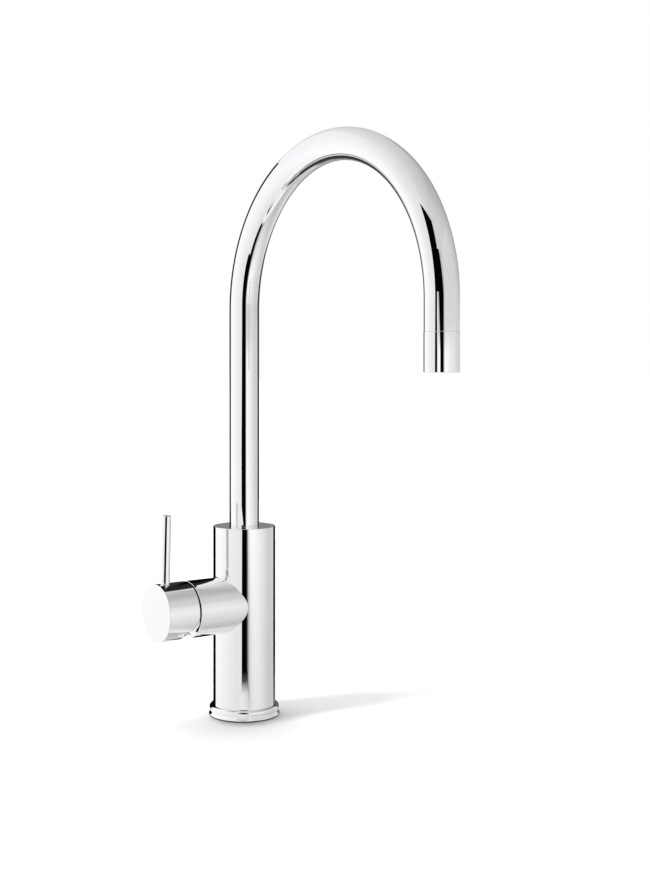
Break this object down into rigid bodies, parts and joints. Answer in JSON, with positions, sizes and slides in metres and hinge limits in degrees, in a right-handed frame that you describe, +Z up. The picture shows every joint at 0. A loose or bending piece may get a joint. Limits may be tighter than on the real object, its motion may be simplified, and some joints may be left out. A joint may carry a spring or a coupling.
{
  "type": "kitchen mixer tap",
  "caption": "Single-lever kitchen mixer tap: a plain round column with a tall swivelling arched spout and outlet collar, and a side handle whose hub carries an upright lever.",
  "frame": {"origin": "centre of the column's underside, on the worktop", "axes": "+Z up along the column; -Y the way the spout points at rest; -X the way the handle's housing points"},
  "size_m": [0.1106, 0.2757, 0.4545],
  "materials": {
    "chrome": "polished chrome plating",
    "brass": "machined brass",
    "steel": "turned stainless steel",
    "rubber": "black moulded rubber",
    "white_plastic": "smooth moulded acetal",
    "grey_plastic": "moulded plastic",
    "outlet_plastic": "moulded plastic",
    "ceramic": "ground alumina"
  },
  "bodies": {
    "column": {"tap_body": "chrome", "base_seal": "rubber", "base_ring": "chrome", "lower_swivel_bush": "white_plastic", "upper_swivel_bush": "white_plastic", "spout_ring_nut": "chrome", "spout_lock_screw": "steel", "cartridge_base": "grey_plastic", "cartridge_port_seals": "rubber", "fixed_ceramic_disc": "ceramic", "cartridge_shell": "grey_plastic", "cartridge_nut": "brass", "dome_cover": "chrome"},
    "spout": {"spout_tube": "chrome", "spout_spigot": "brass", "spout_o_rings": "rubber", "outlet_collar": "chrome", "aerator_shell": "grey_plastic", "aerator_washer": "rubber", "aerator_grid": "outlet_plastic", "aerator_screens": "steel", "flow_regulator": "outlet_plastic"},
    "rotor": {"stem_carrier": "grey_plastic", "pivot_pin": "steel"},
    "lever": {"lever_stem": "steel", "lever_hub": "chrome", "hub_grub_screw": "steel", "lever_rod": "chrome"},
    "disc_slider": {"moving_ceramic_disc": "ceramic", "disc_driver": "white_plastic"}
  },
  "joints": [
    {"name": "spout_swivel", "type": "hinge", "parent": "column", "child": "spout", "pos_m": [0, 0, 0.14], "axis": [0, 0, 1], "continuous": true},
    {"name": "lever_turn", "type": "hinge", "parent": "column", "child": "rotor", "pos_m": [-0.054, 0, 0.0895], "axis": [-1, 0, 0], "range_deg": [-45, 45]},
    {"name": "lever_tilt", "type": "hinge", "parent": "rotor", "child": "lever", "pos_m": [-0.054, 0, 0.0895], "axis": [0, -1, 0], "range_deg": [0, 22]},
    {"name": "disc_slide", "type": "slide", "parent": "rotor", "child": "disc_slider", "axis": [0, 0, 1], "range_m": [0, 0.0066]}
  ],
  "couplings": [
    {"joint": "disc_slide", "follows": "lever_tilt", "m_per_rad": 0.017073}
  ]
}
